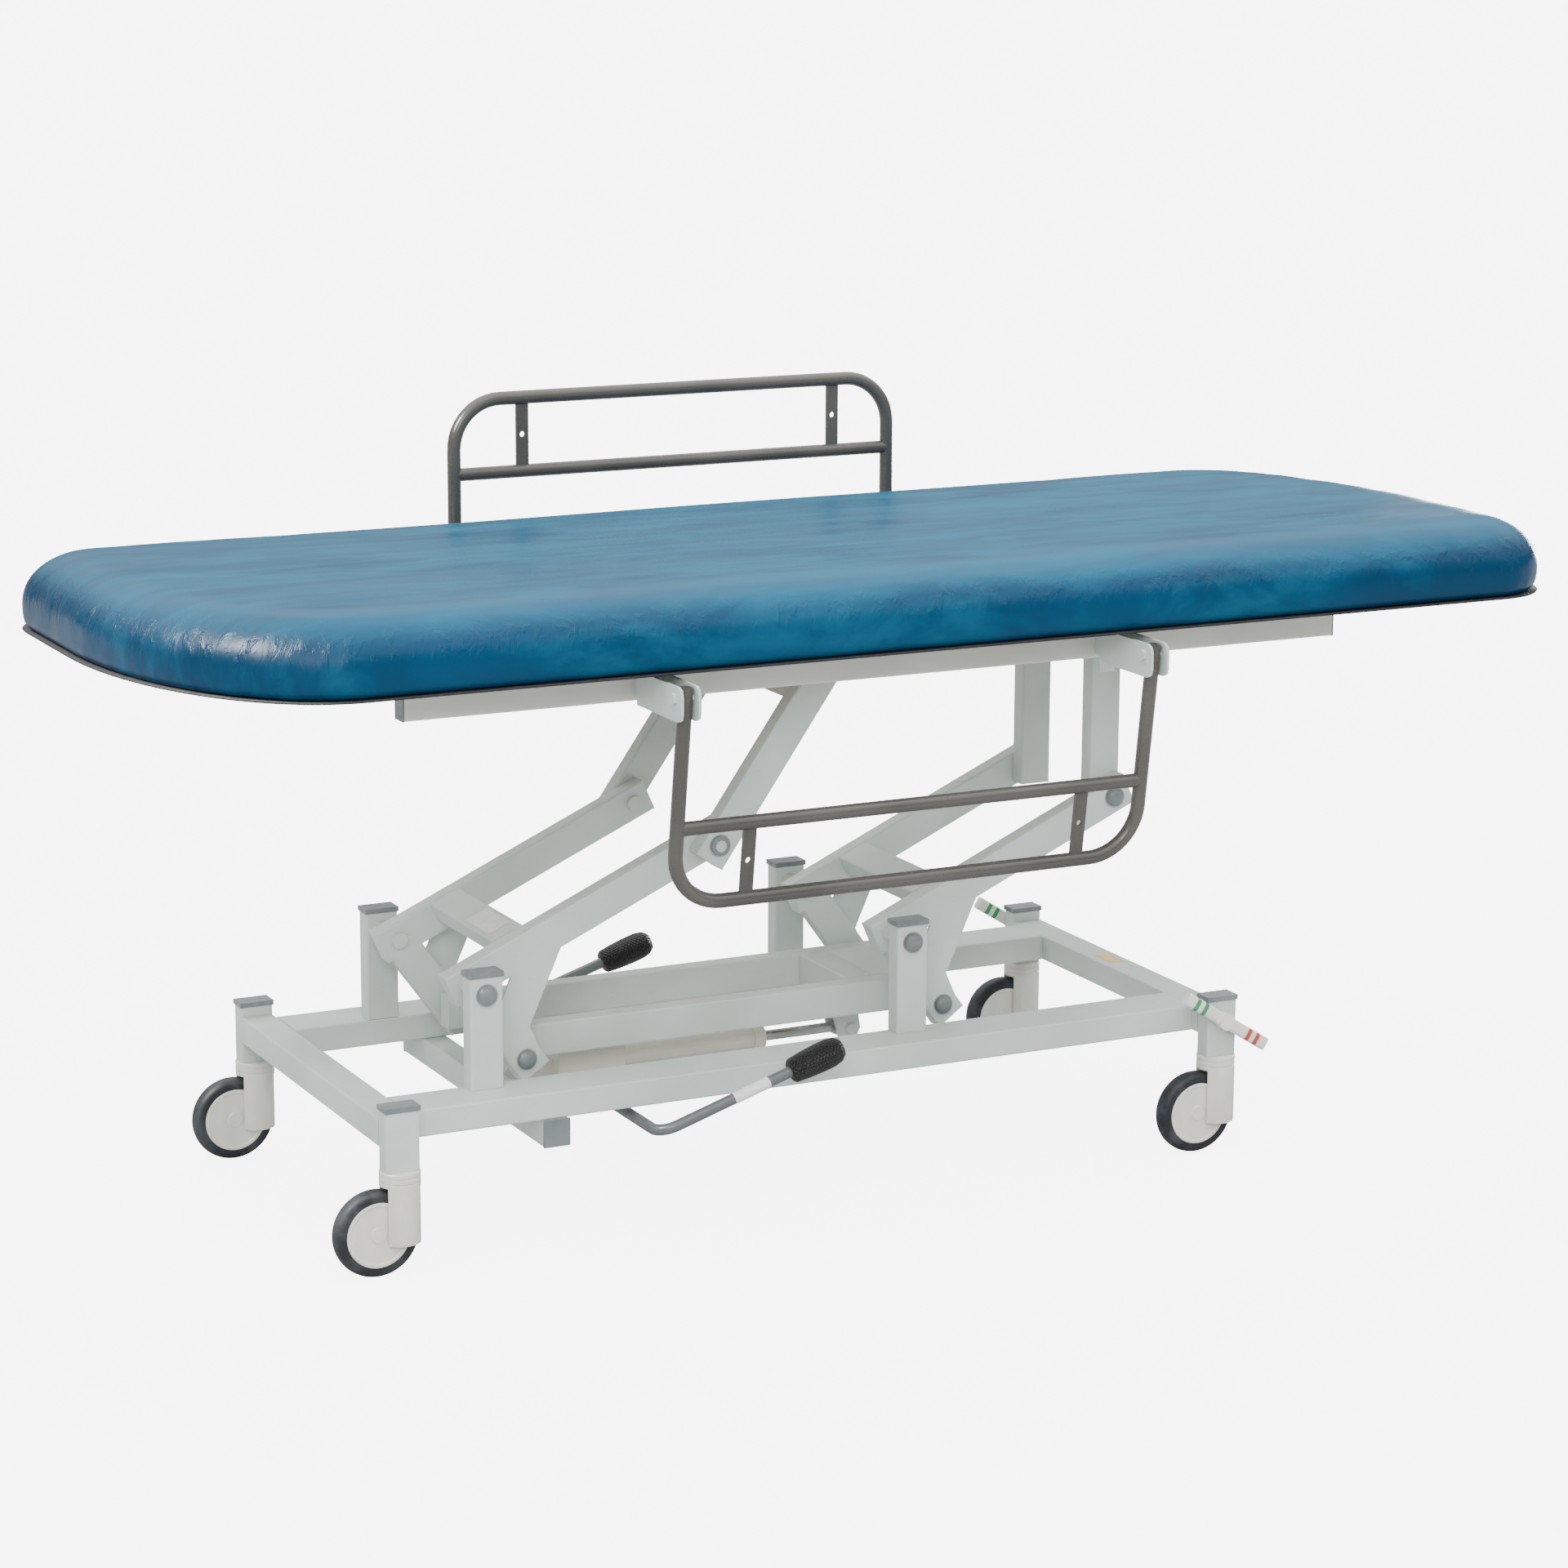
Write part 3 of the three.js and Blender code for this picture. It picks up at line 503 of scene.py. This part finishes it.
def cut_box(obj, low, high):
    """Cuts a block out of a piece."""
    bm = bmesh.new()
    bmesh.ops.create_cube(bm, size=1.0)
    size = Vector(high) - Vector(low)
    place = Matrix.Translation((Vector(low) + Vector(high)) / 2) @ Matrix.Diagonal((*size, 1))
    bmesh.ops.transform(bm, matrix=place, verts=bm.verts)
    mesh = bpy.data.meshes.new("cutter")
    bm.to_mesh(mesh)
    bm.free()
    cutter = bpy.data.objects.new("cutter", mesh)
    bpy.context.scene.collection.objects.link(cutter)
    notch = obj.modifiers.new("notch", "BOOLEAN")
    notch.object, notch.operation, notch.solver = cutter, "DIFFERENCE", "EXACT"
    apply_modifiers(obj)
    bpy.data.objects.remove(cutter)


def cheek(at):
    """Tapered arm from the housing to the axle, beside the wheel."""
    x, y, _ = at
    bm = bmesh.new()
    outline = [(x - TRAIL + 0.0175 * math.cos(t), WHEEL_R + 0.0175 * math.sin(t))
               for t in [math.radians(90 + 180 * k / 14) for k in range(15)]]
    outline += [(x - 0.010, CASTER_FOOT + 0.001), (x + 0.004, CASTER_FOOT + 0.006), (x + 0.004, 0.100),
                (x - 0.010, 0.100)]
    low, high = y + WHEEL_WIDTH / 2 + 0.0016, y + WHEEL_WIDTH / 2 + 0.0074
    loft(bm, [[(px, low, pz) for px, pz in outline], [(px, high, pz) for px, pz in outline]])
    bmesh.ops.recalc_face_normals(bm, faces=bm.faces)
    return bm


def make_caster(end, name, at):
    tag = f"{end}_{name}"
    x, y, _ = at
    swivel, wheel = f"caster_{tag}", f"wheel_{tag}"
    column = piece(f"column_{tag}", caster_column((x, y, 0)), CASTER_PLASTIC, swivel)
    cut_box(column, (x - 0.08, y - 0.0165, -0.01), (x + 0.08, y + 0.0165, 2 * WHEEL_R + 0.003))
    smooth_by_angle(column)
    arm = piece(f"cheek_{tag}", cheek(at), CASTER_PLASTIC, swivel)
    smooth_by_angle(arm)
    stem = piece(f"stem_{tag}", lathe([(0.0005, 0.145), (0.006, 0.145), (0.006, 0.176), (0.0005, 0.176)], "Z",
                                      (x, y, 0), 24), ZINC, swivel)
    smooth_by_angle(stem)
    for part in (column, arm, stem):
        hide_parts(f"caster_fork_{tag}")
    hub = (x - TRAIL, y, WHEEL_R)
    h, r = WHEEL_WIDTH / 2, DISC_R
    disc = [(0.0005, -h), (0.011, -h), (0.012, -h + 0.0012), (r - 0.006, -h + 0.0012), (r - 0.005, -h),
            (r - 0.001, -h), (r, -h + 0.001), (r, h - 0.001), (r - 0.001, h), (0.0005, h)]
    smooth_by_angle(piece(f"disc_{tag}", lathe(disc, "Y", hub), CASTER_PLASTIC, wheel))
    turns = [math.radians(-90 + 180 * k / 14) for k in range(15)]
    tread = [(WHEEL_R - 0.011 + 0.011 * math.cos(t) ** 0.7, (h - 0.0006) * math.sin(t)) for t in turns[1:-1]]
    tyre = [(r + 0.0003, -h + 0.0006), (WHEEL_R - 0.011, -h + 0.0006), *tread, (WHEEL_R - 0.011, h - 0.0006),
            (r + 0.0003, h - 0.0006)]
    made = piece(f"tyre_ring_{tag}", lathe(tyre + tyre[:1], "Y", hub, 96, close=False), TYRE, wheel)
    smooth_by_angle(made)
    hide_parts(f"tyre_{tag}")
    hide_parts(f"wheel_disc_{tag}")


def make_casters():
    for end, sign in ENDS:
        for name, side in SIDES:
            make_caster(end, name, (CARRIAGE_X + sign * POST_X, side * POST_Y, 0))


# ---- guards ----------------------------------------------------------------------------------------
def make_guard(name, side, raised):
    """Bent round tube with a long rail and two drilled flats, hinged at both legs."""
    x0, x1 = GUARD_X
    tilt = math.radians(180 if raised else GUARD_TILT)

    def at(x, drop, out=0.0):
        y = side * GUARD_Y + drop * math.sin(tilt) * -side + out * math.cos(tilt)
        return (x, y, GUARD_Z - drop * math.cos(tilt))

    bm = bmesh.new()
    corners = [at(x0, -0.014), at(x0, GUARD_REACH), at(x1, GUARD_REACH), at(x1, -0.014)]
    sweep(bm, fillet(corners, GUARD_BEND, 12), GUARD_R, 24)
    sweep(bm, [at(x0 + 0.004, GUARD_CROSS), at(x1 - 0.004, GUARD_CROSS)], GUARD_R - 0.0004, 24)
    for x in FLAT_X:
        add_flat(bm, at, x)
    hoop = piece(f"hoop_{name}", bm, GUARD_PAINT, f"guard_{name}")
    smooth_by_angle(hoop)
    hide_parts(f"guard_{name}")


def add_flat(bm, at, x, width=0.020, thick=0.005, hole=0.0045, steps=16):
    """A flat bar between the two long rails with a round hole at its middle."""
    top, bottom = GUARD_CROSS + 0.006, GUARD_REACH - 0.006
    centre = (top + bottom) / 2
    faces = []
    for out in (-thick / 2, thick / 2):
        rim, edge = [], []
        for k in range(steps):
            t = 2 * math.pi * (k + 0.5) / steps
            rim.append(bm.verts.new(at(x + hole * math.cos(t), centre + hole * math.sin(t), out)))
            c, s = math.cos(t), math.sin(t)
            far = min(width / 2 / max(abs(c), 1e-6), (bottom - top) / 2 / max(abs(s), 1e-6))
            edge.append(bm.verts.new(at(x + far * c, centre + far * s, out)))
        faces.append((rim, edge))
    for rim, edge in faces:
        for i in range(steps):
            j = (i + 1) % steps
            bm.faces.new((rim[i], rim[j], edge[j], edge[i]))
    (rim_a, edge_a), (rim_b, edge_b) = faces
    for i in range(steps):
        j = (i + 1) % steps
        bm.faces.new((rim_a[i], rim_b[i], rim_b[j], rim_a[j]))
        bm.faces.new((edge_a[i], edge_a[j], edge_b[j], edge_b[i]))


# ---- pedals ----------------------------------------------------------------------------------------
def make_pedals():
    """One bent lever across the trolley, with a rounded grip and blank oval inset at each end."""
    x, z = LEVER
    rise = math.degrees(math.atan2(PAD_AT[1] - z, PAD_AT[0] - x))
    ux, uz = polar(1, rise)
    tip = (PAD_AT[0] - ux * 0.03, PAD_AT[1] - uz * 0.03)
    corners = [(tip[0], -LEVER_Y, tip[1]), (x, -LEVER_Y, z), (x, LEVER_Y, z), (tip[0], LEVER_Y, tip[1])]
    bm = bmesh.new()
    sweep(bm, fillet(corners, 0.028, 12), LEVER_R, 24)
    lever = piece("pedal_lever", bm, LEVER_PAINT, "pedals")
    smooth_by_angle(lever)
    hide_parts("pedal_shaft", "pedal_arm_near", "pedal_arm_far")
    sleeve = bmesh.new()
    sweep(sleeve, [(x + ux * reach, -LEVER_Y, z + uz * reach) for reach in LABEL_REACH], LEVER_R + 0.0003, 24)
    smooth_by_angle(piece("label_lever", sleeve, PAPER, "pedals"))
    for name, side in SIDES:
        at = (PAD_AT[0], side * LEVER_Y, PAD_AT[1])
        grip = piece(f"grip_{name}", pedal_grip(at, rise), GRIP, "pedals")
        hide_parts(f"pedal_pad_{name}")
        inset = bmesh.new()
        bmesh.ops.create_cone(inset, cap_ends=True, segments=32, radius1=1, radius2=0.9, depth=1)
        shape = Matrix.Diagonal((0.013, 0.0085, 0.0012, 1))
        lean = Matrix.Translation(at) @ Matrix.Rotation(-math.radians(rise), 4, "Y")
        tilt = Matrix.Rotation(math.radians(38), 4, "X") @ Matrix.Translation((0.004, 0, 0.0183))
        bmesh.ops.transform(inset, matrix=lean @ tilt @ shape, verts=inset.verts)
        piece(f"grip_badge_{name}", inset, ZINC, "pedals", smooth=False)


def pedal_grip(at, rise):
    """Bulbous moulded grip: a fat rounded end tapering to the lever."""
    stations = [(-0.044, 0.0095), (-0.043, 0.0135), (-0.040, 0.0160), (-0.020, 0.0178), (0.004, 0.0188),
                (0.022, 0.0186), (0.034, 0.0165), (0.041, 0.0118), (0.0435, 0.0055), (0.0438, 0.0005)]
    bm = lathe([(r, h) for h, r in stations], "X", (0, 0, 0), 40)
    place = Matrix.Translation(at) @ Matrix.Rotation(-math.radians(rise), 4, "Y")
    bmesh.ops.transform(bm, matrix=place @ Matrix.Diagonal((1, 1.13, 1.13, 1)), verts=bm.verts)
    return bm


# ---- mattress ------------------------------------------------------------------------------------
def pad_ring(inset, z, steps=24):
    """Plan outline of the pad at one height, drawn in by the given inset."""
    half_x, half_y = PAD_LENGTH / 2 - inset, PAD_WIDTH / 2 - inset
    wide = [max(r - inset, 0.02) for r in WIDE_CORNER]
    tight = [max(TIGHT_CORNER - inset, 0.02)] * 2
    corners = ((-1, -1, wide, 180), (1, -1, tight, 270), (1, 1, wide, 0), (-1, 1, tight, 90))
    ring = []
    for sx, sy, (rx, ry), start in corners:
        for k in range(steps + 1):
            t = math.radians(start + 90 * k / steps)
            x = sx * (half_x - rx) + rx * math.cos(t)
            y = sy * (half_y - ry) + ry * math.sin(t)
            ring.append((x, y, z))
    return ring


def pad_profile():
    """(inset, height) pairs from the hem up over the rounded edge to the flat top."""
    low, high = PAD_Z[0] + 0.001, PAD_Z[1] - 0.004
    hem = [(HEM, low), (HEM * 0.4, low + 0.004), (0.003, low + 0.014)]
    inset, height = CROWN
    turn = [math.radians(90 * k / 9) for k in range(10)]
    crown = [(0.002 + inset * (1 - math.cos(t)), high - height + height * math.sin(t)) for t in turn]
    return hem + crown


def puff(obj, cap):
    """Cloth simulation under light pressure; no point moves more than cap."""
    rest = [v.co.copy() for v in obj.data.vertices]
    cloth = obj.modifiers.new("cloth", "CLOTH")
    cloth.settings.use_pressure = True
    cloth.settings.uniform_pressure_force = 4.0
    cloth.settings.quality = 4
    cloth.settings.tension_stiffness = 40
    cloth.settings.compression_stiffness = 40
    cloth.settings.effector_weights.gravity = 0.0
    cloth.collision_settings.use_self_collision = False
    scene = bpy.context.scene
    for number in range(1, 21):
        scene.frame_set(number)
    evaluated = obj.evaluated_get(bpy.context.evaluated_depsgraph_get())
    moved = [v.co.copy() for v in evaluated.data.vertices]
    obj.modifiers.remove(cloth)
    scene.frame_set(1)
    for vertex, before, after in zip(obj.data.vertices, rest, moved):
        step = after - before
        vertex.co = before + step * min(1.0, cap / max(step.length, 1e-9))


def wrinkle(vertices):
    """Pulls the cover into shallow gathers on the rounded edge, and beds the underside flat."""
    low, high = PAD_Z
    for v in vertices:
        x, y, z = v.co
        rise = (z - low) / (high - low)
        edge = max(0.0, 1 - abs(rise - 0.62) / 0.34)
        around = math.atan2(y / PAD_WIDTH, x / PAD_LENGTH) * 9 + x * 17
        gather = math.sin(around * 3.1) * math.sin(around * 1.3 + 2.0) * math.sin(x * 23 + y * 31)
        pull = 0.0016 * edge * gather
        v.co.x -= pull * math.copysign(min(abs(x) / (PAD_LENGTH / 2), 1) ** 6, x)
        v.co.y -= pull * math.copysign(min(abs(y) / (PAD_WIDTH / 2), 1) ** 4, y)
        if rise > 0.9:
            v.co.z += 0.0010 * math.sin(x * 5.3 + 1.0) * math.sin(y * 7.1 + x * 2.0)
        v.co.z = max(v.co.z, low + 0.0006)


def make_mattress():
    bm = bmesh.new()
    loft(bm, [pad_ring(inset, z) for inset, z in pad_profile()])
    bmesh.ops.recalc_face_normals(bm, faces=bm.faces)
    pad = piece("mattress_cover", bm, VINYL, "bed")
    remesh = pad.modifiers.new("remesh", "REMESH")
    remesh.voxel_size = 0.010
    remesh.use_smooth_shade = True
    apply_modifiers(pad)
    puff(pad, 0.005)
    wrinkle(pad.data.vertices)
    smooth = pad.modifiers.new("smooth", "SMOOTH")
    smooth.factor, smooth.iterations = 0.5, 4
    apply_modifiers(pad)
    pad.modifiers.new("subdivision", "SUBSURF").render_levels = 1
    apply_modifiers(pad)
    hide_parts("mattress")
    # A near-black strip under the hem is painted shade, standing in for the shadowed gap below the pad.
    under = bmesh.new()
    low = PAD_Z[0]
    loft(under, [pad_ring(HEM, low - 0.0006), pad_ring(HEM - 0.006, low - 0.0002),
                 pad_ring(HEM - 0.0075, low + 0.0022),
                 pad_ring(HEM + 0.01, low + 0.0022)])
    piece("mattress_painted_shade_strip", under, PAINTED_SHADE_PLASTIC, "bed")


def apply_modifiers(obj):
    graph = bpy.context.evaluated_depsgraph_get()
    shape = bpy.data.meshes.new_from_object(obj.evaluated_get(graph))
    obj.modifiers.clear()
    obj.data = shape


# ---- stage ---------------------------------------------------------------------------------------
def seen_directly(tree):
    return tree.nodes.new("ShaderNodeLightPath").outputs["Is Camera Ray"]


def make_floor():
    """Mid-grey floor with a glow that only the camera sees, so it looks near white and shadows look faint."""
    s = Surface("studio_floor", 0.7, **{"Specular IOR Level": 0.1})
    color = s.mix(s.span(s.noise(0.8, 2.0), 0.3, 0.7), (0.50, 0.50, 0.50, 1), (0.47, 0.47, 0.475, 1))
    material = s.finish(color, s.bump(s.noise(60.0, 2.0), 0.02, 0.001))
    glow = s.math("MULTIPLY", seen_directly(s.tree), FLOOR_GLOW)
    s.set(s.shader, {"Emission Color": (1, 1, 1, 1), "Emission Strength": glow})
    bm = bmesh.new()
    bmesh.ops.create_grid(bm, x_segments=2, y_segments=2, size=150)
    mesh = bpy.data.meshes.new("floor")
    bm.to_mesh(mesh)
    bm.free()
    mesh.materials.append(material)
    floor = bpy.data.objects.new("floor", mesh)
    bpy.context.scene.collection.objects.link(floor)
    floor.location.z = -0.0005


def area_light(name, at, aim, size, power):
    light = bpy.data.lights.new(name, "AREA")
    light.shape = "RECTANGLE"
    light.size, light.size_y = size
    light.energy = power
    obj = bpy.data.objects.new(name, light)
    obj.location = at
    obj.rotation_euler = (Vector(aim) - Vector(at)).to_track_quat("-Z", "Y").to_euler()
    bpy.context.scene.collection.objects.link(obj)
    return obj


def make_light():
    """Sky bright overhead and dim at the horizon, a fill, and two boxes seen only in reflections."""
    world = bpy.data.worlds.new("studio")
    world.use_nodes = True
    tree = world.node_tree
    split = tree.nodes.new("ShaderNodeSeparateXYZ")
    tree.links.new(tree.nodes.new("ShaderNodeTexCoord").outputs["Generated"], split.inputs[0])
    height = tree.nodes.new("ShaderNodeMapRange")
    for key, value in {1: 0.10, 2: 0.9, 3: SKY[0], 4: SKY[1]}.items():
        height.inputs[key].default_value = value
    tree.links.new(split.outputs["Z"], height.inputs[0])
    pick = tree.nodes.new("ShaderNodeMix")
    tree.links.new(seen_directly(tree), pick.inputs[0])
    tree.links.new(height.outputs[0], pick.inputs[2])
    pick.inputs[3].default_value = BACKDROP
    tree.nodes["Background"].inputs["Color"].default_value = (1, 1, 1, 1)
    tree.links.new(pick.outputs[0], tree.nodes["Background"].inputs["Strength"])
    bpy.context.scene.world = world
    area_light("front fill", (-3.0, -5.0, 3.4), (0, 0, 0.4), (2.5, 2.0), 150)
    for name, at, aim, size, power in (("left box", (-3.0, -0.2, 3.0), (-0.95, -0.1, 0.9), (1.1, 1.1), 420),
                                       ("right box", (3.1, 2.0, 0.75), (1.1, 0, 0.9), (1.2, 0.5), 60)):
        box = area_light(name, at, aim, size, power)
        box.visible_diffuse = False


def make_camera():
    a, e, r = (math.radians(v) for v in (CAMERA_AZIMUTH, CAMERA_ELEVATION, CAMERA_ROLL))
    back = Vector((math.sin(a) * math.cos(e), -math.cos(a) * math.cos(e), math.sin(e)))
    level = Vector((math.cos(a), math.sin(a), 0))
    upright = back.cross(level)
    right = math.cos(r) * level + math.sin(r) * upright
    up = math.cos(r) * upright - math.sin(r) * level
    data = bpy.data.cameras.new("camera")
    data.lens, data.sensor_width = CAMERA_LENS, 36
    data.clip_start, data.clip_end = 0.1, 100
    camera = bpy.data.objects.new("camera", data)
    camera.matrix_world = Matrix.Translation(CAMERA_AT) @ Matrix((right, up, back)).transposed().to_4x4()
    bpy.context.scene.collection.objects.link(camera)
    bpy.context.scene.camera = camera


paint_frame()
make_tube_caps()
make_linkage_caps()
make_bolt_caps()
make_labels()
make_casters()
make_guard("near", -1, False)
make_guard("far", 1, True)
make_pedals()
make_mattress()
make_floor()
make_light()
make_camera()
